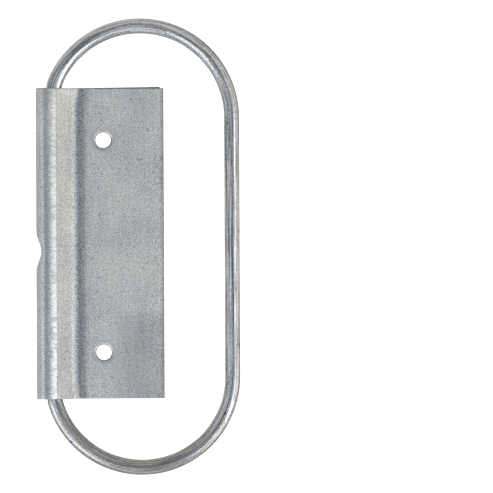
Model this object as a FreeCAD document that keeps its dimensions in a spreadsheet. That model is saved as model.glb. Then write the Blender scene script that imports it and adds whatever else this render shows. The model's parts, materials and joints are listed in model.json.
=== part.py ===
import FreeCAD, Part
import math
import os
import Sketcher

# Ladder stabilizer: a sheet steel bracket, folded double with a knuckle along its fold, and a closed
# wire ring whose one long leg turns in that knuckle.
#
# Frame: millimetres, +Z up off the roof. The bracket lies on the plane z = 0, its length runs along Y,
# and the origin is midway between its two fixing holes, on the underside. The fold and the knuckle are
# on the -X side, and the ring's free leg is on the +X side.

DRIVING_DIMENSIONS = [
    ("sheet_gauge", 1.2, "thickness of the sheet, 18 gauge"),
    ("leaf_gap", 0.4, "spring-back gap between the two leaves"),
    ("leaf_length", 161.9, "length of the bracket along the fold, 6 3/8 in"),
    ("leaf_width", 66.4, "width of the front leaf from the fold edge, 2 5/8 in"),
    ("back_short", 1.9, "how much narrower the back leaf is at its +Y corner"),
    ("fold_skew", 0.65, "degrees that the back leaf is out of square with the front leaf"),
    ("hole_bore", 8.2, "diameter of the fixing holes"),
    ("hole_pitch", 110.8, "distance between the fixing holes"),
    ("hole_to_fold", 34.8, "from the fold edge to the line of holes"),
    ("hole_to_top", 27.0, "from the +Y hole to the +Y edge of the leaf"),
    ("hole_roll", 0.6, "radius of the rolled-in rim that the punch leaves"),
    ("knuckle_rise", 13.3, "height of the knuckle's crown above the underside"),
    ("fold_bend", 5.0, "outer radius of the fold"),
    ("crown_bend", 11.0, "outer radius of the crown, from its top to the crease"),
    ("crown_turn", 30.0, "degrees that the crown turns through before the crease"),
    ("ramp_slope", 46.0, "degrees by which the ramp falls to the front leaf"),
    ("foot_bend", 7.0, "radius of the hollow bend at the foot of the ramp, on top"),
    ("dent_depth", 2.6, "how far the dent is pressed into the fold edge"),
    ("dent_reach", 10.5, "half the length of the dent"),
    ("dent_place", -2.5, "where the middle of the dent is along Y"),
    ("wire_gauge", 7.94, "diameter of the ring's wire, 5/16 in"),
    ("wire_clear", 0.3, "air between the wire and the back leaf"),
    ("leg_to_fold", 9.25, "from the fold edge to the axis of the hinged leg"),
    ("ring_reach", 92.75, "from the axis of the hinged leg to the axis of the free leg"),
    ("ring_height", 238.1, "length of the ring over its two round ends, 9 3/8 in"),
    ("ring_bend", 47.9, "radius of the wire's axis round the +Y end"),
    ("corner_bend", 14.0, "radius of the tighter bend from the +Y end into the hinged leg"),
    ("low_ring_bend", 47.2, "radius of the wire's axis round the -Y end"),
    ("low_corner_bend", 12.0, "radius of the tighter bend from the -Y end into the hinged leg"),
    ("ring_slide", 0.3, "how far the ring has slid along the knuckle towards -Y"),
]
DENT_STATIONS = 7

# The three points that a sketch constraint can name on an arc or a line, and the sketch's own axes.
START, END, CENTRE = 1, 2, 3
AXIS_X, AXIS_Y = -1, -2


# ---------------------------------------------------------------- helpers

def make_sheet(doc):
    """The spreadsheet of driving dimensions: one row each, with its name, value and meaning."""
    sheet = doc.addObject("Spreadsheet::Sheet", "Dims")
    for row, (alias, value, meaning) in enumerate(DRIVING_DIMENSIONS, start=1):
        sheet.set(f"A{row}", alias)
        sheet.set(f"B{row}", str(value))
        sheet.set(f"C{row}", meaning)
        sheet.setAlias(f"B{row}", alias)
    return sheet


def make_body(doc, name):
    body = doc.addObject("PartDesign::Body", name)
    body.Label = name
    return body


def new_sketch(body, name, role):
    """An empty sketch on one of the body's own origin planes, such as XY_Plane."""
    sketch = body.newObject("Sketcher::SketchObject", name)
    planes = {feature.Role: feature for feature in body.Origin.OriginFeatures}
    sketch.AttachmentSupport = [(planes[role], "")]
    sketch.MapMode = "FlatFace"
    return sketch


def new_feature(body, kind, name, sketch):
    feature = body.newObject("PartDesign::" + kind, name)
    feature.Profile = sketch
    sketch.Visibility = False
    return feature


def vec(x, y):
    return FreeCAD.Vector(x, y, 0)


def add_line(sketch, start, end):
    return sketch.addGeometry(Part.LineSegment(start, end))


def add_arc(sketch, centre, radius, first, last):
    """A counter-clockwise arc between two angles in degrees."""
    circle = Part.Circle(centre, FreeCAD.Vector(0, 0, 1), radius)
    arc = Part.ArcOfCircle(circle, math.radians(first), math.radians(last))
    return sketch.addGeometry(arc)


def tie(sketch, kind, *places):
    """A constraint with no size, such as Tangent, Coincident, Vertical or Parallel."""
    return sketch.addConstraint(Sketcher.Constraint(kind, *places))


def size(sketch, name, kind, places, value, formula=None):
    """A named dimension. The formula binds it to the spreadsheet."""
    index = sketch.addConstraint(Sketcher.Constraint(kind, *places, value))
    sketch.renameConstraint(index, name)
    if formula:
        sketch.setExpression("Constraints." + name, formula)


# ---------------------------------------------------------------- bracket

def draw_fold_section(sketch, dims):
    """The folded sheet seen along the fold: from the back leaf round the fold, over the crown, down the
    ramp and along the front leaf, with the inside face parallel to the outside face."""
    gauge, rise, bend = dims.sheet_gauge, dims.knuckle_rise, dims.fold_bend
    crown, turn, slope, foot = dims.crown_bend, dims.crown_turn, dims.ramp_slope, dims.foot_bend
    edge = -dims.hole_to_fold
    axis = edge + bend
    leaf_top = 2 * gauge + dims.leaf_gap
    leaf_end = edge + dims.leaf_width
    crease = vec(axis + crown * math.sin(math.radians(turn)),
                 rise - crown * (1 - math.cos(math.radians(turn))))
    ramp_fall = crease.y - leaf_top - foot * (1 - math.cos(math.radians(slope)))
    ramp_end = vec(crease.x + ramp_fall / math.tan(math.radians(slope)), crease.y - ramp_fall)
    foot_centre = vec(ramp_end.x + foot * math.sin(math.radians(slope)), leaf_top + foot)

    def draw_face(depth):
        """The curves of one face, which lies the given depth inside the outer face."""
        top = leaf_top - depth
        shift = vec(-depth * math.sin(math.radians(slope)), -depth * math.cos(math.radians(slope)))
        return {
            "under": add_arc(sketch, vec(axis, bend), bend - depth, 180, 270),
            "side": add_line(sketch, vec(edge + depth, bend), vec(edge + depth, rise - bend)),
            "over": add_arc(sketch, vec(axis, rise - bend), bend - depth, 90, 180),
            "crown": add_arc(sketch, vec(axis, rise - crown), crown - depth, 90 - turn, 90),
            "ramp": add_line(sketch, crease + shift, ramp_end + shift),
            "foot": add_arc(sketch, foot_centre, foot + depth, 270 - slope, 270),
            "leaf": add_line(sketch, vec(foot_centre.x, top), vec(leaf_end, top)),
        }

    outer = draw_face(0)
    inner = draw_face(gauge)
    for face in (outer, inner):
        tie(sketch, "Tangent", face["under"], START, face["side"], START)
        tie(sketch, "Tangent", face["side"], END, face["over"], END)
        tie(sketch, "Tangent", face["over"], START, face["crown"], END)
        tie(sketch, "Coincident", face["crown"], START, face["ramp"], START)
        tie(sketch, "Tangent", face["ramp"], END, face["foot"], START)
        tie(sketch, "Tangent", face["foot"], END, face["leaf"], START)
        tie(sketch, "Vertical", face["side"])
        tie(sketch, "Horizontal", face["leaf"])
    for arc in ("under", "over", "crown", "foot"):
        tie(sketch, "Coincident", inner[arc], CENTRE, outer[arc], CENTRE)
    tie(sketch, "Parallel", inner["ramp"], outer["ramp"])

    tail_cap = add_line(sketch, vec(axis, 0), vec(axis, gauge))
    leaf_cap = add_line(sketch, vec(leaf_end, leaf_top), vec(leaf_end, leaf_top - gauge))
    for cap, curve, place in ((tail_cap, "under", END), (leaf_cap, "leaf", END)):
        tie(sketch, "Coincident", cap, START, outer[curve], place)
        tie(sketch, "Coincident", cap, END, inner[curve], place)
        tie(sketch, "Vertical", cap)
    tie(sketch, "Vertical", outer["under"], END, outer["under"], CENTRE)
    tie(sketch, "Vertical", outer["over"], START, outer["over"], CENTRE)
    tie(sketch, "PointOnObject", outer["under"], END, AXIS_X)

    size(sketch, "back_gauge", "Distance", [tail_cap], gauge, "Dims.sheet_gauge")
    size(sketch, "front_gauge", "Distance", [leaf_cap], gauge, "Dims.sheet_gauge")
    size(sketch, "under_bend", "Radius", [outer["under"]], bend, "Dims.fold_bend")
    size(sketch, "over_bend", "Radius", [outer["over"]], bend, "Dims.fold_bend")
    size(sketch, "crown_bend", "Radius", [outer["crown"]], crown, "Dims.crown_bend")
    size(sketch, "foot_bend", "Radius", [outer["foot"]], foot, "Dims.foot_bend")
    size(sketch, "fold_edge", "DistanceX", [outer["side"], START, AXIS_X, START], -edge,
         "Dims.hole_to_fold")
    size(sketch, "rise", "DistanceY", [AXIS_X, START, outer["over"], START], rise, "Dims.knuckle_rise")
    size(sketch, "leaf_top", "DistanceY", [AXIS_X, START, outer["leaf"], END], leaf_top,
         "2 * Dims.sheet_gauge + Dims.leaf_gap")
    size(sketch, "leaf_width", "DistanceX", [outer["side"], START, outer["leaf"], END], dims.leaf_width,
         "Dims.leaf_width")
    size(sketch, "crease", "DistanceX", [outer["crown"], END, outer["crown"], START],
         crease.x - axis, "Dims.crown_bend * sin(Dims.crown_turn * 1 deg)")
    ramp_angle = math.radians(-slope)
    size(sketch, "ramp_slope", "Angle", [outer["ramp"]], ramp_angle, "-Dims.ramp_slope * 1 deg")


def draw_back_leaf(sketch, dims):
    """The back leaf's outline: a rectangle turned slightly out of square with the fold."""
    fold = -dims.hole_to_fold + dims.fold_bend
    far = -dims.hole_to_fold + dims.leaf_width - dims.back_short
    top = dims.hole_pitch / 2 + dims.hole_to_top
    bottom = top - dims.leaf_length
    lift = math.tan(math.radians(dims.fold_skew))
    corners = [
        vec(fold, bottom),
        vec(far + dims.leaf_length * lift, bottom + (far - fold) * lift),
        vec(far, top + (far - fold) * lift),
        vec(fold, top),
    ]
    sides = [add_line(sketch, corners[i], corners[(i + 1) % 4]) for i in range(4)]
    for i in range(4):
        tie(sketch, "Coincident", sides[i], END, sides[(i + 1) % 4], START)
    low_side, far_side, top_side, fold_side = sides
    tie(sketch, "Vertical", fold_side)
    tie(sketch, "Parallel", low_side, top_side)
    tie(sketch, "Perpendicular", low_side, far_side)
    size(sketch, "skew", "Angle", [low_side], math.radians(dims.fold_skew), "Dims.fold_skew * 1 deg")
    size(sketch, "length", "Distance", [fold_side], dims.leaf_length, "Dims.leaf_length")
    size(sketch, "fold", "DistanceX", [top_side, END, AXIS_X, START], -fold,
         "Dims.hole_to_fold - Dims.fold_bend")
    size(sketch, "top", "DistanceY", [AXIS_X, START, top_side, END], top,
         "Dims.hole_pitch / 2 + Dims.hole_to_top")
    size(sketch, "far", "DistanceX", [top_side, END, top_side, START], far - fold,
         "Dims.leaf_width - Dims.back_short - Dims.fold_bend")


def draw_rectangle(sketch, left, right, bottom, top):
    """A rectangle with no dimensions yet. Returns its low, right, top and left sides."""
    corners = [vec(left, bottom), vec(right, bottom), vec(right, top), vec(left, top)]
    sides = [add_line(sketch, corners[i], corners[(i + 1) % 4]) for i in range(4)]
    for i in range(4):
        tie(sketch, "Coincident", sides[i], END, sides[(i + 1) % 4], START)
    tie(sketch, "Horizontal", sides[0])
    tie(sketch, "Horizontal", sides[2])
    tie(sketch, "Vertical", sides[1])
    tie(sketch, "Vertical", sides[3])
    return sides


def draw_dent_window(sketch, dims):
    """The stretch of the fold that the dent replaces, seen from above."""
    edge = -dims.hole_to_fold
    low = dims.dent_place - dims.dent_reach
    high = dims.dent_place + dims.dent_reach
    low_side, right_side, top_side, left_side = draw_rectangle(
        sketch, edge - dims.fold_bend, edge + dims.fold_bend, low, high)
    size(sketch, "inside", "DistanceX", [right_side, START, AXIS_X, START], -edge - dims.fold_bend,
         "Dims.hole_to_fold - Dims.fold_bend")
    size(sketch, "across", "Distance", [low_side], 2 * dims.fold_bend, "2 * Dims.fold_bend")
    size(sketch, "along", "Distance", [right_side], high - low, "2 * Dims.dent_reach")
    size(sketch, "low", "DistanceY", [low_side, START, AXIS_X, START], -low,
         "Dims.dent_reach - Dims.dent_place")


def draw_dent_section(sketch, dims, phase):
    """The fold cut across at one station of the dent. The wall stands further in, between tighter bends.
    The phase runs from -90 degrees at one end of the dent to 90 at the other."""
    gauge, rise = dims.sheet_gauge, dims.knuckle_rise
    bend = dims.fold_bend - dims.dent_depth * math.cos(math.radians(phase)) ** 2
    axis = -dims.hole_to_fold + dims.fold_bend
    faces = []
    for depth in (0, gauge):
        radius = bend - depth
        faces.append({
            "under": add_arc(sketch, vec(axis, bend), radius, 180, 270),
            "side": add_line(sketch, vec(axis - radius, bend), vec(axis - radius, rise - bend)),
            "over": add_arc(sketch, vec(axis, rise - bend), radius, 90, 180),
        })
    outer, inner = faces
    for face in faces:
        tie(sketch, "Tangent", face["under"], START, face["side"], START)
        tie(sketch, "Tangent", face["side"], END, face["over"], END)
        tie(sketch, "Vertical", face["side"])
    low_cap = add_line(sketch, vec(axis, 0), vec(axis, gauge))
    high_cap = add_line(sketch, vec(axis, rise), vec(axis, rise - gauge))
    for cap, curve, place in ((low_cap, "under", END), (high_cap, "over", START)):
        tie(sketch, "Coincident", cap, START, outer[curve], place)
        tie(sketch, "Coincident", cap, END, inner[curve], place)
        tie(sketch, "Vertical", cap)
        tie(sketch, "Vertical", outer[curve], place, outer[curve], CENTRE)
        tie(sketch, "Coincident", inner[curve], CENTRE, outer[curve], CENTRE)
    tie(sketch, "Vertical", outer["under"], CENTRE, outer["over"], CENTRE)
    tie(sketch, "PointOnObject", outer["under"], END, AXIS_X)
    size(sketch, "gauge", "Distance", [low_cap], gauge, "Dims.sheet_gauge")
    size(sketch, "rise", "DistanceY", [AXIS_X, START, outer["over"], START], rise, "Dims.knuckle_rise")
    size(sketch, "axis", "DistanceX", [outer["under"], CENTRE, AXIS_X, START], -axis,
         "Dims.hole_to_fold - Dims.fold_bend")
    size(sketch, "bend", "Radius", [outer["under"]], bend,
         f"Dims.fold_bend - Dims.dent_depth * cos({phase} deg)^2")


def draw_holes(sketch, dims):
    reach = dims.hole_pitch / 2
    up = FreeCAD.Vector(0, 0, 1)
    high, low = [sketch.addGeometry(Part.Circle(vec(0, y), up, dims.hole_bore / 2))
                 for y in (reach, -reach)]
    tie(sketch, "PointOnObject", high, CENTRE, AXIS_Y)
    tie(sketch, "Symmetric", high, CENTRE, low, CENTRE, AXIS_X, START)
    tie(sketch, "Equal", high, low)
    size(sketch, "pitch", "DistanceY", [low, CENTRE, high, CENTRE], dims.hole_pitch, "Dims.hole_pitch")
    size(sketch, "bore", "Diameter", [high], dims.hole_bore, "Dims.hole_bore")


def hole_rims(body, dims):
    """The names of the two round edges where the holes meet the top of the front leaf."""
    leaf_top = 2 * dims.sheet_gauge + dims.leaf_gap
    names = []
    for number, edge in enumerate(body.Shape.Edges, start=1):
        curve = edge.Curve
        if isinstance(curve, Part.Circle) and abs(curve.Radius - dims.hole_bore / 2) < 1e-4:
            if abs(curve.Center.z - leaf_top) < 1e-4:
                names.append(f"Edge{number}")
    return names


def make_bracket(doc, dims):
    body = make_body(doc, "bracket")

    section = new_sketch(body, "fold_section", "XZ_Plane")
    section.setExpression(".AttachmentOffset.Base.z", "-(Dims.hole_pitch / 2 + Dims.hole_to_top) * 1 mm")
    draw_fold_section(section, dims)
    folded = new_feature(body, "Pad", "folded_sheet", section)
    folded.setExpression("Length", "Dims.leaf_length * 1 mm")

    outline = new_sketch(body, "back_outline", "XY_Plane")
    draw_back_leaf(outline, dims)
    back = new_feature(body, "Pad", "back_leaf", outline)
    back.setExpression("Length", "Dims.sheet_gauge * 1 mm")
    doc.recompute()

    window = new_sketch(body, "dent_window", "XY_Plane")
    draw_dent_window(window, dims)
    opening = new_feature(body, "Pocket", "dent_opening", window)
    opening.Midplane = True
    opening.Type = "ThroughAll"
    doc.recompute()

    stations = []
    for k in range(DENT_STATIONS):
        share = 2 * k / (DENT_STATIONS - 1) - 1
        station = new_sketch(body, f"dent_section_{k + 1}", "XZ_Plane")
        station.setExpression(".AttachmentOffset.Base.z",
                              f"-(Dims.dent_place + {share:.6f} * Dims.dent_reach) * 1 mm")
        draw_dent_section(station, dims, 90 * share)
        stations.append(station)
    dent = new_feature(body, "AdditiveLoft", "dent", stations[0])
    dent.Sections = stations[1:]
    doc.recompute()

    holes = new_sketch(body, "hole_circles", "XY_Plane")
    draw_holes(holes, dims)
    punched = new_feature(body, "Pocket", "fixing_holes", holes)
    punched.Midplane = True
    punched.Type = "ThroughAll"
    doc.recompute()

    rims = body.newObject("PartDesign::Fillet", "rolled_rims")
    rims.Base = (punched, hole_rims(body, dims))
    rims.setExpression("Radius", "Dims.hole_roll * 1 mm")
    body.Tip = rims
    doc.recompute()
    return body


# ---------------------------------------------------------------- ring

def draw_half_ring(sketch, dims, side, end_name, corner_name):
    """One half of the wire's axis, from the middle of the hinged leg to the middle of the free leg: the
    +Y half for side 1 and the -Y half for side -1. Two dimensions, given by name, are its bends."""
    reach, bend, corner = dims.ring_reach, getattr(dims, end_name), getattr(dims, corner_name)
    bend_y = dims.ring_height / 2 - dims.wire_gauge / 2 - bend
    bend_x = reach - bend
    corner_y = bend_y + math.sqrt((bend - corner) ** 2 - (bend_x - corner) ** 2)
    meet = math.degrees(math.atan2(corner_y - bend_y, corner - bend_x))
    if bend_y + bend * math.sin(math.radians(meet)) < corner_y:
        raise ValueError("the corner bend doesn't reach the round end")
    if side > 0:
        corner_turn, end_turn, first, last = (meet, 180), (0, meet), START, END
    else:
        corner_turn, end_turn, first, last = (180, 360 - meet), (360 - meet, 360), END, START
    hinged = add_line(sketch, vec(0, 0), vec(0, side * corner_y))
    corner_arc = add_arc(sketch, vec(corner, side * corner_y), corner, *corner_turn)
    end_arc = add_arc(sketch, vec(bend_x, side * bend_y), bend, *end_turn)
    free = add_line(sketch, vec(reach, side * bend_y), vec(reach, 0))
    tie(sketch, "Coincident", hinged, START, AXIS_X, START)
    tie(sketch, "Vertical", hinged)
    tie(sketch, "Vertical", free)
    tie(sketch, "Tangent", hinged, END, corner_arc, last)
    tie(sketch, "Tangent", corner_arc, first, end_arc, last)
    tie(sketch, "Tangent", end_arc, first, free, START)
    tie(sketch, "PointOnObject", free, END, AXIS_X)
    size(sketch, "corner_bend", "Radius", [corner_arc], corner, "Dims." + corner_name)
    size(sketch, "ring_bend", "Radius", [end_arc], bend, "Dims." + end_name)
    size(sketch, "reach", "DistanceX", [AXIS_X, START, free, END], reach, "Dims.ring_reach")
    span = [AXIS_X, START, end_arc, CENTRE] if side > 0 else [end_arc, CENTRE, AXIS_X, START]
    size(sketch, "end", "DistanceY", span, bend_y,
         "(Dims.ring_height - Dims.wire_gauge) / 2 - Dims." + end_name)


def draw_wire(sketch, dims):
    """The wire's round section, centred on the middle of the hinged leg."""
    wire = sketch.addGeometry(Part.Circle(vec(0, 0), FreeCAD.Vector(0, 0, 1), dims.wire_gauge / 2))
    tie(sketch, "Coincident", wire, CENTRE, AXIS_X, START)
    size(sketch, "gauge", "Diameter", [wire], dims.wire_gauge, "Dims.wire_gauge")


def make_ring(doc, dims):
    """The ring is bent flat, about the axis of its hinged leg. Its Placement then lays it in the knuckle,
    turned down a little, so that the free leg rests on the same plane as the bracket."""
    body = make_body(doc, "ring")
    for name, side, end_name, corner_name in (("high", 1, "ring_bend", "corner_bend"),
                                              ("low", -1, "low_ring_bend", "low_corner_bend")):
        axis = new_sketch(body, name + "_wire_axis", "XY_Plane")
        draw_half_ring(axis, dims, side, end_name, corner_name)
        wire = new_sketch(body, name + "_wire_section", "XZ_Plane")
        draw_wire(wire, dims)
        half = new_feature(body, "AdditivePipe", name + "_half", wire)
        half.Spine = axis
        half.SpineTangent = False
        axis.Visibility = False
        doc.recompute()

    body.Placement = FreeCAD.Placement(vec(0, 0), FreeCAD.Rotation(FreeCAD.Vector(0, 1, 0), 1))
    body.setExpression(".Placement.Base.x", "(Dims.leg_to_fold - Dims.hole_to_fold) * 1 mm")
    body.setExpression(".Placement.Base.y", "-Dims.ring_slide * 1 mm")
    body.setExpression(".Placement.Base.z",
                       "(Dims.sheet_gauge + Dims.wire_clear + Dims.wire_gauge / 2) * 1 mm")
    body.setExpression(".Placement.Rotation.Angle",
                       "asin((Dims.sheet_gauge + Dims.wire_clear) / Dims.ring_reach)")
    doc.recompute()
    return body


# ---------------------------------------------------------------- checks and files

def check(doc, bodies):
    for item in doc.Objects:
        if "Invalid" in item.State or "Error" in item.State:
            raise RuntimeError(f"{item.Name} failed: {item.State}")
        if item.isDerivedFrom("Sketcher::SketchObject") and item.FullyConstrained is False:
            raise RuntimeError(f"{item.Name} is not fully constrained")
    for body in bodies:
        shape = body.Shape
        if shape.isNull() or not shape.isValid() or len(shape.Solids) != 1:
            raise RuntimeError(f"{body.Label} is not one valid solid")
        box = shape.BoundBox
        print(body.Label, "volume", round(shape.Volume, 1), "box",
              [round(v, 3) for v in (box.XMin, box.YMin, box.ZMin, box.XMax, box.YMax, box.ZMax)])


def main():
    doc = FreeCAD.newDocument("ladder_stabilizer")
    dims = make_sheet(doc)
    doc.recompute()
    bodies = [make_bracket(doc, dims), make_ring(doc, dims)]
    check(doc, bodies)
    os.makedirs("parts", exist_ok=True)
    for body in bodies:
        body.Shape.exportStep(f"parts/{body.Label}.step")


main()
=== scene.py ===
import json
import math
from collections import namedtuple

import bmesh
import bpy
import numpy as np
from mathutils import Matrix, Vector, noise


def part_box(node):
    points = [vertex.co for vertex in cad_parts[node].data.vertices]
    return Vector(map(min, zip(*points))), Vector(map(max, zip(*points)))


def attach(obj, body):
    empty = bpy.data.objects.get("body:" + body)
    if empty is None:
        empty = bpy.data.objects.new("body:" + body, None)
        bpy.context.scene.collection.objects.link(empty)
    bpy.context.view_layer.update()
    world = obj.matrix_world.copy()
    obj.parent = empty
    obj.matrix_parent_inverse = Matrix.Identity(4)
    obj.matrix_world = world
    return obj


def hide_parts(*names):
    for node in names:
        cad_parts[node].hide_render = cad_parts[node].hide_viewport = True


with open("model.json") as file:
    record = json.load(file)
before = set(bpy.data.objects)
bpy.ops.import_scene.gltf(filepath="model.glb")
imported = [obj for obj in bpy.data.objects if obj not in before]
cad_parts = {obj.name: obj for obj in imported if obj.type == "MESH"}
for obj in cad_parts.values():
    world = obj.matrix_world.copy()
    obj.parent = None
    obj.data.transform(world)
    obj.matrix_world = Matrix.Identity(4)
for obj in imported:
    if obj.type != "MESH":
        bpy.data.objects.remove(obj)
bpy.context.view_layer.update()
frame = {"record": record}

# Ladder stabilizer: a folded sheet steel bracket and the closed wire ring that swings in its knuckle.
# Shapes are worked out in millimetres, in the frame's own axes, and turned into metres when a mesh is
# made: +Z is up off the roof, +Y along the knuckle, +X from the knuckle to the ring's free leg.

MM = 0.001


def in_mm(values):
    return [value / MM for value in values]


MOUNTS = {mount["name"]: mount for mount in frame["record"]["mounts"]}
JOINTS = {joint["name"]: joint for joint in frame["record"]["behaviour"]["joints"]}
BRACKET_LOW, BRACKET_HIGH = (in_mm(corner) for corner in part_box("bracket"))
RING_LOW, RING_HIGH = (in_mm(corner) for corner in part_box("ring"))

# ---------------------------------------------------------------- the bracket's dimensions

# The sheet's sizes, as in the CAD: millimetres, and degrees for turns and slopes.
FOLD_EDGE = BRACKET_LOW[0]
LEAF_EDGE = BRACKET_HIGH[0]
RISE = BRACKET_HIGH[2]
LEAF_LENGTH = 161.9
LOW_END = BRACKET_LOW[1]
HIGH_END = LOW_END + LEAF_LENGTH
GAUGE = 1.2
LEAF_GAP = 0.4
LEAF_TOP = 2 * GAUGE + LEAF_GAP
HOLE_YS = [side * MOUNTS["fixing_holes"]["dims"]["spacing_y_mm"] / 2 for side in (-1, 1)]
HOLE_RADIUS = MOUNTS["fixing_holes"]["dims"]["hole_r_mm"]

FOLD_BEND = 5.0
FOLD_AXIS = FOLD_EDGE + FOLD_BEND
CROWN_BEND = 11.0
CROWN_TURN = 30.0
RAMP_SLOPE = 46.0
FOOT_BEND = 7.0
BACK_SHORT = 1.9
FOLD_SKEW = math.tan(math.radians(0.65))

DENT_DEPTH = 2.6
DENT_REACH = 10.5
DENT_PLACE = -2.5

# Small marks of folding and punching that the CAD leaves out.
CREASE_BEND = 0.8
FLARE = 1.3
FLARE_REACH = 12.0
TROUGH_DEPTH = 0.16
TROUGH_WIDTH = 1.8
TROUGH_PLACE = 2.4
LEAF_LIFT = 0.25
HOLE_ROLL = 0.42
HOLE_ROLL_WIDTH = 1.5
HOLE_BREAK = 0.30
HOLE_BREAK_WIDTH = 0.5
EDGE_ROLL = 0.10
EDGE_ROLL_WIDTH = 0.4

# Slow waves in the sheet: height, length along X as a share of the length along Y, that length, seed.
LEAF_WAVES = ((0.05, 1.0, 24, 1), (0.018, 1.0, 7, 2))
KNUCKLE_WAVES = ((0.035, 0.3, 9, 3), (0.05, 0.2, 31, 4))

# The mesh's spacing: a square patch is left out of the grid round each hole and filled with rings.
PATCH = 8.4
PATCH_STEPS = 12
ROW_STEP = 1.1
BACK_STEP = 2.6
VALLEY_STEP = 0.45
FRONT_STEP = 1.8
SLACK = 1e-6
EDGE_STEPS = (0.0, 0.1, 0.22, 0.42)
FREE_COLUMNS = 9
ZONE_COLUMNS = (("under", 14), ("side", 4), ("over", 18), ("crown", 14), ("crease", 5), ("ramp", 12),
                ("foot", 22))
OUTER_RING_SHARES = (0.35, 0.7)
OUTER_RING_INSET = 1.9
WALL_RINGS = (1.4, 1.0, 0.75, 0.55, 0.38, 0.24, 0.12, 0.0)

# The back leaf's rows turn with its skewed ends. That fades out before the rows at the holes.
SKEW_START = 1.0
SKEW_REACH = 13.0


# ---------------------------------------------------------------- the sheet's section

def heading(degrees):
    return np.array([math.cos(math.radians(degrees)), math.sin(math.radians(degrees))])


CROWN_CENTRE = np.array([FOLD_AXIS, RISE - CROWN_BEND])
CROWN_END = CROWN_CENTRE + CROWN_BEND * heading(90 - CROWN_TURN)
CREASE_CENTRE = CROWN_END - CREASE_BEND * heading(90 - CROWN_TURN)
RAMP_START = CREASE_CENTRE + CREASE_BEND * heading(90 - RAMP_SLOPE)
FOOT_DROP = FOOT_BEND * (1 - math.cos(math.radians(RAMP_SLOPE)))
RAMP_RUN = (RAMP_START[1] - LEAF_TOP - FOOT_DROP) / math.sin(math.radians(RAMP_SLOPE))
RAMP_END = RAMP_START + RAMP_RUN * heading(-RAMP_SLOPE)
FOOT_CENTRE = RAMP_END + FOOT_BEND * heading(90 - RAMP_SLOPE)
FOOT_X = FOOT_CENTRE[0]


def smooth(value):
    """An even blend from 0 to 1."""
    value = min(max(value, 0.0), 1.0)
    return value * value * (3 - 2 * value)


def fade(distance, start, reach):
    """An even blend from 1 down to 0, which begins at the start and takes the reach."""
    return 1 - smooth((distance - start) / reach)


def rolled(distance, depth, width):
    """How far a sheared edge is rolled down, at a distance inside it."""
    return depth * max(0.0, 1 - distance / width) ** 2


def dent(y):
    share = (y - DENT_PLACE) / DENT_REACH
    return DENT_DEPTH * math.cos(share * math.pi / 2) ** 2 if abs(share) < 1 else 0.0


def end_distance(y):
    return min(y - LOW_END, HIGH_END - y)


def flare(y):
    """How far the foot of the ramp spreads at the knuckle's two mouths."""
    return FLARE * max(0.0, 1 - end_distance(y) / FLARE_REACH) ** 2


def uneven(x, y, waves):
    """How far the waves lift the sheet at one place."""
    return sum(height * noise.noise(Vector((x * share / size, y / size, seed)))
               for height, share, size, seed in waves)


def back_far(y):
    """The back leaf's free edge, which is out of square with the front leaf."""
    return LEAF_EDGE - BACK_SHORT + (HIGH_END - y) * FOLD_SKEW


def face_point(zone, value, y):
    """A point of the sheet's outer face and the direction that it faces there, in the XZ plane. The
    value is x on the two leaves, and a share from 0 to 1 of any other zone."""
    bend = FOLD_BEND - dent(y)
    if zone == "back":
        return np.array([value, 0.0]), heading(270)
    if zone == "under":
        facing = heading(270 - 90 * value)
        return np.array([FOLD_AXIS, bend]) + bend * facing, facing
    if zone == "side":
        return np.array([FOLD_AXIS - bend, bend + value * (RISE - 2 * bend)]), heading(180)
    if zone == "over":
        facing = heading(180 - 90 * value)
        return np.array([FOLD_AXIS, RISE - bend]) + bend * facing, facing
    if zone == "crown":
        facing = heading(90 - CROWN_TURN * value)
        return CROWN_CENTRE + CROWN_BEND * facing, facing
    if zone == "crease":
        facing = heading(90 - CROWN_TURN - (RAMP_SLOPE - CROWN_TURN) * value)
        return CREASE_CENTRE + CREASE_BEND * facing, facing
    spread = np.array([flare(y), 0.0])
    if zone == "ramp":
        point = RAMP_START + value * RAMP_RUN * heading(-RAMP_SLOPE)
        return point + value * spread, heading(90 - RAMP_SLOPE)
    if zone == "foot":
        facing = heading(90 - RAMP_SLOPE * (1 - value))
        return FOOT_CENTRE - FOOT_BEND * facing + spread, facing
    along = value - FOOT_X
    across = along / (LEAF_EDGE - FOOT_X)
    trough = TROUGH_DEPTH * math.exp(-((along - TROUGH_PLACE) / TROUGH_WIDTH) ** 2)
    lift = LEAF_LIFT * across ** 2 - trough * smooth(along / TROUGH_PLACE)
    shift = flare(y) * (1 - smooth(across * 2.5))
    return np.array([value + shift, LEAF_TOP + lift]), heading(90)


def hole_distance(x, y):
    """From the nearest hole's wall to a point of a leaf."""
    return min(math.hypot(x, y - hole) for hole in HOLE_YS) - HOLE_RADIUS


def hole_roll(x, y):
    """The punch draws the sheet down in a shallow funnel, which turns steeply into the hole's wall."""
    distance = hole_distance(x, y)
    return rolled(distance, HOLE_ROLL, HOLE_ROLL_WIDTH) + rolled(distance, HOLE_BREAK, HOLE_BREAK_WIDTH)


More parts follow.
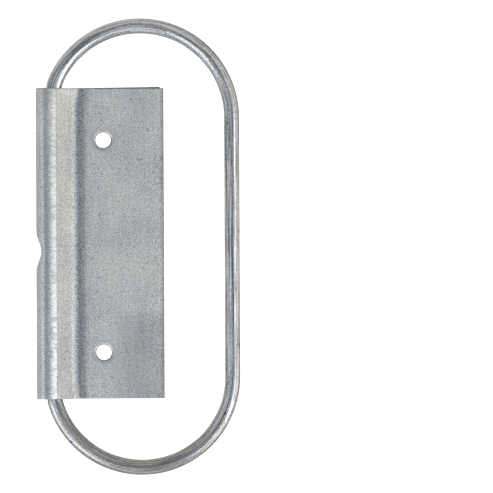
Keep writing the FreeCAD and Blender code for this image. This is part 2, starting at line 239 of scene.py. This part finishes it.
def sheet_points(zone, value, y):
    """The outer and the inner face of the sheet at one place, with the small marks of its making."""
    (x, z), facing = face_point(zone, value, y)
    outer_roll = rolled(end_distance(y), EDGE_ROLL, EDGE_ROLL_WIDTH)
    inner_roll = 0.0
    if zone == "front":
        outer_roll += hole_roll(x, y)
        outer_roll += rolled(LEAF_EDGE - value, EDGE_ROLL, EDGE_ROLL_WIDTH)
        unevenness = uneven(x, y, LEAF_WAVES)
    elif zone == "back":
        inner_roll = hole_roll(x, y)
        unevenness = 0.0
    elif zone in ("crown", "crease", "over", "ramp"):
        unevenness = uneven(x, y, KNUCKLE_WAVES)
    else:
        unevenness = 0.0
    shift = 0.0
    if zone == "back":
        shift = (value - FOLD_AXIS) * FOLD_SKEW * fade(end_distance(y), SKEW_START, SKEW_REACH)
    outer = np.array([x, z]) + facing * (unevenness - outer_roll)
    inner = np.array([x, z]) + facing * (unevenness - GAUGE + inner_roll)
    return (outer[0], y + shift, outer[1]), (inner[0], y + shift, inner[1])


def polish(zone, value, y):
    """How far bending and punching have smoothed the zinc, from 0 on the flat leaves to 1."""
    punched = fade(hole_distance(value, y), 0.9, 0.9)
    if zone == "front":
        return max(punched, fade(value - FOOT_X, 1.6, 4.2))
    if zone == "back":
        return max(punched, fade(value - FOLD_AXIS, 0, 4))
    if zone == "ramp":
        return 1 - 0.8 * smooth(value / 0.12)
    if zone == "foot":
        return 0.2 + 0.8 * smooth((value - 0.55) / 0.45)
    return 1.0


def valley_shade_and_specks(zone, value):
    """How dark the valley at the foot of the ramp is made, from 0 to 1: painted shade in the hollow,
    which also damps the foot's highlight, and the dark specks that lie there.
    """
    if zone == "foot":
        return 0.55 * smooth(value / 0.15) + 0.45 * smooth((value - 0.45) / 0.40)
    if zone == "front":
        return fade(value - FOOT_X, 0.8, 2.8)
    return 0.0


def burnish_and_highlight(zone, value, y):
    """How bright the crown is made beside its crease, from 0 to 1: partly zinc rubbed bright by the
    press, partly painted highlight, which grows towards -Y.
    """
    share = 0.6 + 0.4 * smooth((HIGH_END - y) / LEAF_LENGTH)
    if zone == "crown":
        return share * smooth((value - 0.28) / 0.26)
    if zone == "crease":
        return share
    if zone == "ramp":
        return share * fade(value, 0, 0.08)
    return 0.0


def painted_glints(zone, value, y):
    """Painted glints, from 0 to 1: small white sparkles on the foot below the ramp towards -Y, and a
    bright spot at the knuckle's -Y mouth.
    """
    if zone != "foot":
        return 0.0
    line = math.exp(-((value - 0.26) / 0.13) ** 2) * smooth((-15 - y) / 35)
    corner = fade(y - LOW_END, 0, 1.6) * smooth(value / 0.2) * fade(value, 0.7, 0.2)
    return max(line, corner)


def bare_and_shade(zone, value, y):
    """How dark the outer face is made at cut ends, hole walls and the front leaf's free edge, from 0 to
    1:
    partly bare steel where sheared or punched, partly painted shade along these edges.
    """
    mark = fade(end_distance(y), 0, 0.4)
    if zone in ("back", "front"):
        mark = max(mark, fade(hole_distance(value, y), 0.1, 0.5))
    if zone == "front":
        mark = max(mark, fade(LEAF_EDGE - value, 0, 0.75))
    return mark


# ---------------------------------------------------------------- the bracket's mesh

def steps(start, end, step):
    """Evenly spaced values from start up to, but not including, end."""
    count = max(1, round(abs(end - start) / step))
    return [start + (end - start) * k / count for k in range(count)]


def row_places():
    """Where the mesh's rows lie along Y: close together at the two ends, even across each hole."""
    inset = EDGE_STEPS[-1]
    rows = [LOW_END + d for d in EDGE_STEPS[:-1]]
    start = LOW_END + inset
    for hole in HOLE_YS:
        rows += steps(start, hole - PATCH, ROW_STEP)
        rows += steps(hole - PATCH, hole + PATCH, 2 * PATCH / PATCH_STEPS)
        start = hole + PATCH
    rows += steps(start, HIGH_END - inset, ROW_STEP)
    return rows + [HIGH_END - d for d in reversed(EDGE_STEPS)]


def column_places():
    """The mesh's columns, from the back leaf's free edge round the fold to the front leaf's. The first
    ones are shares of the way to the back leaf's free edge, which isn't parallel to Y."""
    patch_step = 2 * PATCH / PATCH_STEPS
    columns = [("back", share) for share in steps(1.0, 0.0, 1 / FREE_COLUMNS)]
    columns += [("back", x) for x in steps(PATCH, -PATCH, patch_step)]
    columns += [("back", x) for x in steps(-PATCH, FOLD_AXIS, BACK_STEP)]
    for zone, count in ZONE_COLUMNS:
        columns += [(zone, k / count) for k in range(count)]
    columns += [("front", x) for x in steps(FOOT_X, -PATCH, VALLEY_STEP)]
    columns += [("front", x) for x in steps(-PATCH, PATCH, patch_step)]
    columns += [("front", x) for x in steps(PATCH, LEAF_EDGE - EDGE_STEPS[-1], FRONT_STEP)]
    columns += [("front", LEAF_EDGE - d) for d in reversed(EDGE_STEPS)]
    return columns


class SheetMesh:
    """Vertices in pairs, one on the outer face and one on the inner, the quads between them, and how
    strong each mark is at each vertex: marks of making, painted shade and painted highlight."""

    def __init__(self):
        self.points = []
        self.quads = []
        self.marks = {"polish": [], "bare_and_shade": [], "valley_shade_and_specks": [], "burnish_and_highlight": [], "painted_glints": []}

    def pair(self, zone, value, y):
        outer, inner = sheet_points(zone, value, y)
        self.points += [outer, inner]
        self.marks["polish"] += [polish(zone, value, y)] * 2
        # The inner face is painted dark all over: painted shade inside the knuckle and in the gap
        # between the leaves.
        self.marks["bare_and_shade"] += [bare_and_shade(zone, value, y), 1.0]
        self.marks["valley_shade_and_specks"] += [valley_shade_and_specks(zone, value)] * 2
        self.marks["burnish_and_highlight"] += [burnish_and_highlight(zone, value, y), 0.0]
        self.marks["painted_glints"] += [painted_glints(zone, value, y), 0.0]
        return len(self.points) - 2

    def both_faces(self, a, b, c, d):
        self.quads.append((a, b, c, d))
        self.quads.append((d + 1, c + 1, b + 1, a + 1))

    def rim(self, a, b):
        self.quads.append((b, a, a + 1, b + 1))

    def ring_of(self, loop, centre, zone):
        """Fills the square gap that a loop of pairs leaves round a hole, in rings down to its wall."""
        cx, cy = centre
        spokes = []
        for pair in loop:
            x, y, _ = self.points[pair]
            spokes.append((math.atan2(y - cy, x - cx), math.hypot(x - cx, y - cy)))
        outer = loop
        for share in OUTER_RING_SHARES:
            radii = [reach + (HOLE_RADIUS + OUTER_RING_INSET - reach) * share for _, reach in spokes]
            outer = self.add_ring(outer, spokes, radii, centre, zone)
        for wall in WALL_RINGS:
            outer = self.add_ring(outer, spokes, [HOLE_RADIUS + wall] * len(loop), centre, zone)
        for k, pair in enumerate(outer):
            self.rim(outer[(k + 1) % len(outer)], pair)

    def add_ring(self, outer, spokes, radii, centre, zone):
        inner = []
        for (angle, _), radius in zip(spokes, radii):
            x = centre[0] + radius * math.cos(angle)
            y = centre[1] + radius * math.sin(angle)
            inner.append(self.pair(zone, x, y))
        for k in range(len(outer)):
            n = (k + 1) % len(outer)
            self.both_faces(outer[k], outer[n], inner[n], inner[k])
        return inner


def within(value, centre):
    """Whether a coordinate lies inside the square patch round a hole's centre."""
    return abs(value - centre) < PATCH - SLACK


def build_sheet():
    rows, columns = row_places(), column_places()
    sheet = SheetMesh()
    grid = {}
    for i, (zone, value) in enumerate(columns):
        on_leaf = zone in ("back", "front")
        free = i < FREE_COLUMNS
        for j, y in enumerate(rows):
            place = PATCH + value * (back_far(y) - PATCH) if free else value
            if on_leaf and not free and within(place, 0) and any(within(y, hole) for hole in HOLE_YS):
                continue
            grid[i, j] = sheet.pair(zone, place, y)
    last_i, last_j = len(columns) - 1, len(rows) - 1
    for i in range(last_i):
        for j in range(last_j):
            corners = [(i, j), (i + 1, j), (i + 1, j + 1), (i, j + 1)]
            if all(corner in grid for corner in corners):
                sheet.both_faces(*[grid[corner] for corner in corners])
    for i in range(last_i):
        sheet.rim(grid[i, 0], grid[i + 1, 0])
        sheet.rim(grid[i + 1, last_j], grid[i, last_j])
    for j in range(last_j):
        sheet.rim(grid[0, j + 1], grid[0, j])
        sheet.rim(grid[last_i, j], grid[last_i, j + 1])
    for zone in ("back", "front"):
        across = [i for i, (name, value) in enumerate(columns)
                  if name == zone and i >= FREE_COLUMNS and abs(value) < PATCH + SLACK]
        for hole in HOLE_YS:
            along = [j for j, y in enumerate(rows) if abs(y - hole) < PATCH + SLACK]
            i0, i1, j0, j1 = across[0], across[-1], along[0], along[-1]
            loop = [(i, j0) for i in range(i0, i1)] + [(i1, j) for j in range(j0, j1)]
            loop += [(i, j1) for i in range(i1, i0, -1)] + [(i0, j) for j in range(j1, j0, -1)]
            sheet.ring_of([grid[corner] for corner in loop], (0, hole), zone)
    return sheet


def mesh_object(name, points, faces, sharp_angle):
    """A smooth-shaded mesh from points in millimetres, with edges sharper than the angle kept sharp."""
    mesh = bpy.data.meshes.new(name)
    mesh.from_pydata([tuple(c * MM for c in point) for point in points], [], faces)
    work = bmesh.new()
    work.from_mesh(mesh)
    bmesh.ops.recalc_face_normals(work, faces=work.faces)
    work.to_mesh(mesh)
    work.free()
    mesh.shade_smooth()
    mesh.set_sharp_from_angle(angle=math.radians(sharp_angle))
    piece = bpy.data.objects.new(name, mesh)
    bpy.context.scene.collection.objects.link(piece)
    return piece


def store(piece, name, kind, values):
    attribute = piece.data.attributes.new(name, kind, "POINT")
    field = "vector" if kind == "FLOAT_VECTOR" else "value"
    attribute.data.foreach_set(field, np.array(values, dtype=np.float32).ravel())


def make_bracket():
    sheet = build_sheet()
    piece = mesh_object("folded_sheet", sheet.points, sheet.quads, 50)
    for name, values in sheet.marks.items():
        store(piece, name, "FLOAT", values)
    piece.data.materials.append(galvanised())
    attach(piece, "bracket")
    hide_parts("bracket")


# ---------------------------------------------------------------- the ring

WIRE_RADIUS = 3.97
HINGE_X, _, HINGE_Z = in_mm(JOINTS["ring_swing"]["pos_m"])
RING_DROP = HINGE_Z - WIRE_RADIUS
RING_REACH = math.hypot(RING_HIGH[0] - WIRE_RADIUS - HINGE_X, RING_DROP)
RING_TILT = math.asin(RING_DROP / RING_REACH)
RING_HALF = (RING_HIGH[1] - RING_LOW[1]) / 2
RING_MIDDLE = (RING_HIGH[1] + RING_LOW[1]) / 2

# One end of the ring: the round bend's centre and radius, the tighter bend's into the hinged leg, and
# the angle at which the one turns into the other. At the low end, Y counts towards -Y.
RingEnd = namedtuple("RingEnd", "centre radius corner_centre corner_radius meet")


def ring_end(radius, corner_radius):
    x = RING_REACH - radius
    y = RING_HALF - WIRE_RADIUS - radius
    corner_y = y + math.sqrt((radius - corner_radius) ** 2 - (x - corner_radius) ** 2)
    meet = math.degrees(math.atan2(corner_y - y, corner_radius - x))
    return RingEnd((x, y), radius, (corner_radius, corner_y), corner_radius, meet)


HIGH_RING_END = ring_end(47.9, 14.0)
LOW_RING_END = ring_end(47.2, 12.0)
WIRE_STEP = 1.6
WIRE_SIDES = 48


def arc_points(centre, radius, first, last):
    """Stations along an arc from the first angle up to, but not including, the last."""
    count = max(3, round(math.radians(abs(last - first)) * radius / WIRE_STEP))
    angles = [first + (last - first) * k / count for k in range(count)]
    return [(np.array(centre) + radius * heading(a), heading(a)) for a in angles]


def line_points(start, end, facing):
    """Stations along a straight run from its start up to, but not including, its end."""
    start, end = np.array(start), np.array(end)
    count = round(float(np.linalg.norm(end - start)) / WIRE_STEP)
    return [(start + (end - start) * k / count, np.array(facing)) for k in range(count)]


def wire_stations():
    """The wire's axis, once round clockwise from the middle of the hinged leg, where the knuckle hides
    the seam, in the ring's own plane: across from the hinged leg, then along Y. Each station has the
    direction that faces out of the ring."""
    high, low = HIGH_RING_END, LOW_RING_END
    low_x, low_y = low.centre[0], -low.centre[1]
    corner_x, corner_y = low.corner_centre[0], -low.corner_centre[1]
    stations = line_points((0, 0), (0, high.corner_centre[1]), (-1, 0))
    stations += arc_points(high.corner_centre, high.corner_radius, 180, high.meet)
    stations += arc_points(high.centre, high.radius, high.meet, 0)
    stations += line_points((RING_REACH, high.centre[1]), (RING_REACH, low_y), (1, 0))
    stations += arc_points((low_x, low_y), low.radius, 0, -low.meet)
    stations += arc_points((corner_x, corner_y), low.corner_radius, -low.meet, -180)
    stations += line_points((0, corner_y), (0, 0), (-1, 0))
    return stations


def build_wire():
    """The wire's points and faces, and each point's place round the wire and along it, which is counted
    from the hinged leg's -Y end."""
    points, coordinates, faces = [], [], []
    stations = wire_stations()
    travel = LOW_RING_END.corner_centre[1]
    for k, (centre, facing) in enumerate(stations):
        if k:
            travel += float(np.linalg.norm(centre - stations[k - 1][0]))
        for side in range(WIRE_SIDES):
            turn = 2 * math.pi * side / WIRE_SIDES
            out, up = math.cos(turn), math.sin(turn)
            across, along = centre + WIRE_RADIUS * out * facing
            lift = WIRE_RADIUS * up
            x = HINGE_X + across * math.cos(RING_TILT) + lift * math.sin(RING_TILT)
            z = HINGE_Z - across * math.sin(RING_TILT) + lift * math.cos(RING_TILT)
            points.append((x, RING_MIDDLE + along, z))
            coordinates.append((out, up, travel * MM))
    count = len(stations)
    for k in range(count):
        n = (k + 1) % count
        for side in range(WIRE_SIDES):
            other = (side + 1) % WIRE_SIDES
            faces.append((k * WIRE_SIDES + side, k * WIRE_SIDES + other,
                          n * WIRE_SIDES + other, n * WIRE_SIDES + side))
    return points, coordinates, faces


def make_ring():
    points, coordinates, faces = build_wire()
    piece = mesh_object("wire_ring", points, faces, 60)
    store(piece, "wire", "FLOAT_VECTOR", coordinates)
    piece.data.materials.append(zinc_wire())
    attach(piece, "ring")
    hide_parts("ring")


# ---------------------------------------------------------------- materials

class Nodes:
    """A material's node tree, with short calls for the nodes that it is built from."""

    def __init__(self, name):
        self.material = bpy.data.materials.new(name)
        self.material.use_nodes = True
        self.tree = self.material.node_tree
        self.shader = self.tree.nodes["Principled BSDF"]

    def put(self, socket, value):
        """Sets a socket to a number or colour, or links it to another node's output."""
        if isinstance(value, bpy.types.NodeSocket):
            self.tree.links.new(value, socket)
        else:
            socket.default_value = value

    def node(self, kind, output=0, settings=(), **inputs):
        node = self.tree.nodes.new(kind)
        for key, value in dict(settings).items():
            setattr(node, key, value)
        for key, value in inputs.items():
            self.put(node.inputs[key.replace("_", " ")], value)
        return node.outputs[output]

    def place(self):
        return self.node("ShaderNodeTexCoord", "Object")

    def along(self, vector, axis):
        return self.node("ShaderNodeSeparateXYZ", axis, Vector=vector)

    def stretched(self, vector, scale):
        return self.node("ShaderNodeMapping", Vector=vector, Scale=scale)

    def grain(self, vector, scale, detail, rough):
        return self.node("ShaderNodeTexNoise", "Fac", Vector=vector, Scale=scale, Detail=detail,
                         Roughness=rough)

    def span(self, value, low, high, to_low=0.0, to_high=1.0):
        """The value stretched from one range to another, and clamped to its ends."""
        node = self.tree.nodes.new("ShaderNodeMapRange")
        for name, number in (("Value", value), ("From Min", low), ("From Max", high),
                             ("To Min", to_low), ("To Max", to_high)):
            self.put(node.inputs[name], number)
        return node.outputs[0]

    def blend(self, share, first, second):
        node = self.tree.nodes.new("ShaderNodeMix")
        node.data_type = "RGBA"
        self.put(node.inputs["Factor"], share)
        self.put(node.inputs["A"], first)
        self.put(node.inputs["B"], second)
        return node.outputs["Result"]

    def dimmed(self, colour, factor):
        """The colour times a factor, which may be above one."""
        node = self.tree.nodes.new("ShaderNodeVectorMath")
        node.operation = "SCALE"
        self.put(node.inputs[0], colour)
        self.put(node.inputs["Scale"], factor)
        return node.outputs[0]

    def combined(self, first, second, kind="ADD"):
        """The sum of two values, or another operation on them."""
        node = self.tree.nodes.new("ShaderNodeMath")
        node.operation = kind
        self.put(node.inputs[0], first)
        self.put(node.inputs[1], second)
        return node.outputs[0]

    def bump(self, height, distance, strength, below=None):
        node = self.tree.nodes.new("ShaderNodeBump")
        self.put(node.inputs["Strength"], strength)
        node.inputs["Distance"].default_value = distance
        self.put(node.inputs["Height"], height)
        if below is not None:
            self.put(node.inputs["Normal"], below)
        return node.outputs[0]

    def named(self, name, output):
        return self.node("ShaderNodeAttribute", output, {"attribute_name": name})

    def finish(self, **inputs):
        for key, value in inputs.items():
            self.put(self.shader.inputs[key.replace("_", " ")], value)
        return self.material


def galvanised():
    """Dull zinc coating: sandy grain all over, faint clouds, smoother bends, painted shade in one
    corner, painted shade and dark specks in the valley, a bright line on the crown that is partly rubbed
    zinc and partly painted highlight, painted glints below the ramp, and dark bare steel where cut, with
    painted shade along the cut edges and on the inner faces."""
    m = Nodes("galvanised_sheet")
    place = m.place()
    polish = m.named("polish", "Fac")
    bare_and_shade = m.named("bare_and_shade", "Fac")
    valley_shade_and_specks = m.named("valley_shade_and_specks", "Fac")
    burnish_and_highlight = m.named("burnish_and_highlight", "Fac")
    painted_glints = m.named("painted_glints", "Fac")
    fine = m.grain(place, 2100, 1.0, 0.5)
    finer = m.grain(place, 3000, 0.0, 0.5)
    coarse = m.grain(place, 700, 2.0, 0.6)
    cloud = m.grain(place, 40, 3.0, 0.55)
    patches = m.grain(place, 110, 2.0, 0.6)
    warmth = m.grain(m.stretched(place, (1.0, 0.6, 1.0)), 1300, 1.0, 0.5)
    ticks = m.grain(m.stretched(place, (0.45, 1.0, 0.45)), 800, 3.0, 0.65)
    glint_grain = m.grain(place, 1350, 1.0, 0.5)
    specks = m.grain(m.stretched(place, (1.0, 0.8, 1.0)), 1800, 1.0, 0.5)
    pits = m.grain(place, 520, 0.0, 0.5)
    drawn = m.grain(m.stretched(place, (1.0, 0.03, 1.0)), 1100, 1.0, 0.5)
    across = m.combined(m.along(place, "X"), m.span(cloud, 0, 1, -0.02, 0.02))
    down = m.combined(m.along(place, "Y"), m.span(cloud, 0, 1, -0.03, 0.03))

    cold_zinc = (0.665, 0.695, 0.725, 1)
    warm_zinc = (0.74, 0.74, 0.725, 1)
    bent_zinc = (0.64, 0.665, 0.69, 1)
    corner_shade_grey = (0.38, 0.42, 0.46, 1)
    colour = m.blend(m.span(m.combined(cloud, warmth), 0.85, 1.15), cold_zinc, warm_zinc)
    colour = m.blend(m.span(polish, 0, 1, 0.0, 0.6), colour, bent_zinc)
    # Painted shade: the front leaf grows darker and bluer towards its +X, -Y corner.
    corner_shade = m.combined(m.span(across, 0.000, 0.016), m.span(down, -0.026, -0.052), "MULTIPLY")
    colour = m.blend(m.combined(corner_shade, 0.5, "MULTIPLY"), colour, corner_shade_grey)

    sand = m.combined(m.span(fine, 0.35, 0.65, 0.67, 1.29), m.span(finer, 0.3, 0.7, -0.19, 0.19))
    sand = m.combined(sand, m.span(cloud, 0.3, 0.7, -0.06, 0.06))
    sand = m.combined(sand, m.span(drawn, 0.3, 0.7, -0.05, 0.05))
    sand = m.combined(sand, m.span(pits, 0.77, 0.83, 0.0, 0.26), "SUBTRACT")
    colour = m.dimmed(colour, sand)

    # Painted shade in the valley at the foot of the ramp, with the dark specks that lie there.
    valley_shade_grey = (0.26, 0.29, 0.32, 1)
    speck_dark = (0.06, 0.08, 0.11, 1)
    valley_shade = m.combined(valley_shade_and_specks, m.span(fine, 0.42, 0.66, 0.05, 0.32), "MULTIPLY")
    colour = m.blend(valley_shade, colour, valley_shade_grey)
    speckled = m.combined(valley_shade_and_specks, m.span(specks, 0.54, 0.62, 0.0, 0.85), "MULTIPLY")
    colour = m.blend(speckled, colour, speck_dark)

    # A bright strip on the crown: partly rubbed zinc, partly painted highlight, broken by darker gaps.
    highlight_gap_zinc = (0.44, 0.46, 0.48, 1)
    burnish_highlight_zinc = (0.76, 0.775, 0.79, 1)
    glint_white = (1.0, 1.0, 1.0, 1)
    touch = m.combined(ticks, m.span(patches, 0.35, 0.65, -0.09, 0.07))
    # Painted highlight: the strip grows brighter towards -Y.
    touch = m.combined(touch, m.span(down, 0.06, -0.06, -0.07, 0.02))
    highlight_gaps = m.combined(burnish_and_highlight, m.span(touch, 0.40, 0.48, 0.75, 0.0), "MULTIPLY")
    colour = m.blend(highlight_gaps, colour, highlight_gap_zinc)
    shine = m.combined(burnish_and_highlight, m.span(touch, 0.40, 0.50), "MULTIPLY")
    colour = m.blend(shine, colour, burnish_highlight_zinc)
    # Painted glints: white sparkles along the foot and a bright spot at the knuckle's -Y mouth.
    sparkle = m.combined(painted_glints, m.span(glint_grain, 0.50, 0.57), "MULTIPLY")
    colour = m.blend(sparkle, colour, glint_white)

    # Dark bare steel at cut ends and hole walls, with painted shade there, along the free edge and on
    # inner faces.
    dark_shaded_steel = (0.13, 0.12, 0.11, 1)
    light_shaded_steel = (0.27, 0.25, 0.23, 1)
    shaded_steel = m.blend(m.span(coarse, 0.3, 0.7), dark_shaded_steel, light_shaded_steel)
    colour = m.blend(bare_and_shade, colour, shaded_steel)

    rough = m.span(coarse, 0.3, 0.7, 0.46, 0.56)
    rough = m.combined(rough, m.span(polish, 0, 1, 0.0, 0.17), "SUBTRACT")
    normal = m.bump(fine, 0.00008, 0.27)
    normal = m.bump(coarse, 0.00010, 0.20, normal)
    normal = m.bump(ticks, 0.00022, burnish_and_highlight, normal)
    normal = m.bump(glint_grain, 0.00030, painted_glints, normal)
    return m.finish(Base_Color=colour, Metallic=1.0, Roughness=rough, Normal=normal)


def zinc_wire():
    """Bright zinc over drawn wire: streaks, ragged die lines and dark scratches along the wire, darker
    and browner towards the -Y end, and a few small nicks."""
    m = Nodes("zinc_plated_wire")
    wire = m.named("wire", "Vector")
    place = m.place()
    streak = m.grain(m.stretched(wire, (1.0, 1.0, 2.0)), 3.5, 2.0, 0.6)
    fine = m.grain(place, 1500, 2.0, 0.5)
    ragged = m.span(m.grain(place, 900, 1.0, 0.5), 0.3, 0.7, -0.035, 0.035)
    line = m.combined(m.grain(m.stretched(wire, (1.0, 1.0, 3.5)), 5.0, 2.0, 0.6), ragged)
    hair = m.grain(m.stretched(wire, (1.0, 1.0, 4.0)), 12.0, 2.0, 0.6)
    scratch = m.combined(m.grain(m.stretched(wire, (1.0, 1.0, 5.0)), 9.0, 3.0, 0.6), ragged)
    cloud = m.grain(place, 60, 2.0, 0.5)
    nick = m.span(m.grain(place, 260, 0.0, 0.5), 0.80, 0.84, 0.0, 0.8)

    cold_zinc = (0.60, 0.64, 0.70, 1)
    warm_zinc = (0.97, 0.94, 0.89, 1)
    line_dark = (0.24, 0.27, 0.31, 1)
    low_end_brown = (0.30, 0.285, 0.27, 1)
    scratch_dark = (0.15, 0.14, 0.14, 1)
    nick_dark = (0.10, 0.10, 0.11, 1)
    colour = m.blend(m.span(streak, 0.40, 0.60), cold_zinc, warm_zinc)
    colour = m.blend(m.span(line, 0.51, 0.58, 0.0, 0.85), colour, line_dark)
    # Darker and browner towards the -Y end.
    low_end_darkening = m.span(m.along(place, "Y"), -0.085, -0.116, 0.0, 0.55)
    colour = m.blend(low_end_darkening, colour, low_end_brown)
    colour = m.blend(m.span(scratch, 0.55, 0.60, 0.0, 0.80), colour, scratch_dark)
    shade = m.combined(m.span(hair, 0.35, 0.65, 0.80, 1.28), m.span(fine, 0.3, 0.7, -0.12, 0.12))
    colour = m.dimmed(colour, shade)
    colour = m.blend(nick, colour, nick_dark)

    rough = m.span(streak, 0.3, 0.7, 0.16, 0.26)
    rough = m.combined(rough, m.span(cloud, 0.3, 0.7, -0.02, 0.04))
    normal = m.bump(line, 0.00040, 0.45)
    normal = m.bump(hair, 0.00012, 0.30, normal)
    normal = m.bump(fine, 0.00003, 0.15, normal)
    return m.finish(Base_Color=colour, Metallic=1.0, Roughness=rough, Normal=normal)


# ---------------------------------------------------------------- floor, light and camera

FLOOR_SIZE = 6.0
FLOOR_DROP = 0.0001


def make_floor():
    """A pale floor that the camera sees as plain white and that metal mirrors as a softer grey."""
    mesh = bpy.data.meshes.new("floor")
    half, low = FLOOR_SIZE / 2, -FLOOR_DROP
    corners = [(-half, -half, low), (half, -half, low), (half, half, low), (-half, half, low)]
    mesh.from_pydata(corners, [], [(0, 1, 2, 3)])
    floor = bpy.data.objects.new("floor", mesh)
    bpy.context.scene.collection.objects.link(floor)
    m = Nodes("pale_floor")
    m.shader.inputs["Roughness"].default_value = 0.9
    m.shader.inputs["Base Color"].default_value = (0.77, 0.755, 0.73, 1)
    white = m.node("ShaderNodeEmission", Color=(1, 1, 1, 1), Strength=0.92)
    soft = m.node("ShaderNodeBsdfDiffuse", Color=(0.8, 0.8, 0.8, 1))
    seen = m.tree.nodes.new("ShaderNodeAddShader")
    m.put(seen.inputs[0], white)
    m.put(seen.inputs[1], soft)
    mix = m.tree.nodes.new("ShaderNodeMixShader")
    m.put(mix.inputs[0], m.node("ShaderNodeLightPath", "Is Camera Ray"))
    m.put(mix.inputs[1], m.shader.outputs[0])
    m.put(mix.inputs[2], seen.outputs[0])
    m.put(m.tree.nodes["Material Output"].inputs["Surface"], mix.outputs[0])
    mesh.materials.append(m.material)


def area_light(name, place, size, power):
    data = bpy.data.lights.new(name, "AREA")
    data.shape = "SQUARE"
    data.size = size
    data.energy = power
    light = bpy.data.objects.new(name, data)
    light.location = place
    light.rotation_euler = (-Vector(place)).to_track_quat("-Z", "Y").to_euler()
    light.visible_camera = False
    bpy.context.scene.collection.objects.link(light)


def make_world():
    """Even studio surroundings: dim overhead, lighter towards the horizon, duller and warmer at +Y, and
    cooler at -X."""
    world = bpy.data.worlds.new("studio")
    bpy.context.scene.world = world
    world.use_nodes = True
    tree = world.node_tree
    place = tree.nodes.new("ShaderNodeTexCoord")
    split = tree.nodes.new("ShaderNodeSeparateXYZ")
    tree.links.new(place.outputs["Generated"], split.inputs[0])
    height = colour_ramp(tree, [(0.0, (0.92, 0.885, 0.82, 1)), (0.75, (0.80, 0.805, 0.81, 1)),
                                (0.92, (0.58, 0.60, 0.63, 1)), (1.0, (0.25, 0.27, 0.30, 1))])
    tree.links.new(split.outputs["Z"], height.inputs["Fac"])
    along = colour_ramp(tree, [(0.0, (1.0, 1.0, 1.0, 1)), (1.0, (0.60, 0.57, 0.54, 1))])
    across = colour_ramp(tree, [(0.0, (0.70, 0.735, 0.78, 1)), (0.6, (1.0, 1.0, 1.0, 1)),
                                (1.0, (1.0, 0.985, 0.95, 1))])
    colour = height.outputs["Color"]
    for axis, ramp, low in (("Y", along, -0.3), ("X", across, -1.0)):
        shift = tree.nodes.new("ShaderNodeMapRange")
        shift.inputs["From Min"].default_value = low
        tree.links.new(split.outputs[axis], shift.inputs["Value"])
        tree.links.new(shift.outputs[0], ramp.inputs["Fac"])
        both = tree.nodes.new("ShaderNodeMix")
        both.data_type = "RGBA"
        both.blend_type = "MULTIPLY"
        both.inputs["Factor"].default_value = 1.0
        tree.links.new(colour, both.inputs["A"])
        tree.links.new(ramp.outputs["Color"], both.inputs["B"])
        colour = both.outputs["Result"]
    tree.links.new(colour, tree.nodes["Background"].inputs["Color"])


def colour_ramp(tree, stops):
    node = tree.nodes.new("ShaderNodeValToRGB")
    bar = node.color_ramp
    bar.elements[0].position, bar.elements[0].color = stops[0]
    bar.elements[1].position, bar.elements[1].color = stops[-1]
    for position, colour in stops[1:-1]:
        bar.elements.new(position).color = colour
    return node


# The camera looks straight down. The picture's width and the camera's place in X and Y are in
# millimetres, its height is in metres.
PICTURE_WIDTH = 257.6
CAMERA_HEIGHT = 2.4
CAMERA_X = 74.64
CAMERA_Y = -0.47
CAMERA_ROLL = math.radians(-0.26)


def make_camera():
    data = bpy.data.cameras.new("camera")
    data.sensor_width = 36.0
    data.lens = data.sensor_width * CAMERA_HEIGHT / (PICTURE_WIDTH * MM)
    data.clip_end = 50.0
    camera = bpy.data.objects.new("camera", data)
    camera.location = (CAMERA_X * MM, CAMERA_Y * MM, CAMERA_HEIGHT)
    camera.rotation_euler = (0, 0, CAMERA_ROLL)
    bpy.context.scene.collection.objects.link(camera)
    bpy.context.scene.camera = camera


def main():
    scene = bpy.context.scene
    scene.view_settings.view_transform = "Standard"
    make_camera()
    make_world()
    make_floor()
    area_light("key_right", (1.15, -0.60, 0.95), 1.4, 5.4)
    area_light("key_left", (-0.90, -0.80, 1.05), 1.2, 4.9)
    make_bracket()
    make_ring()


main()
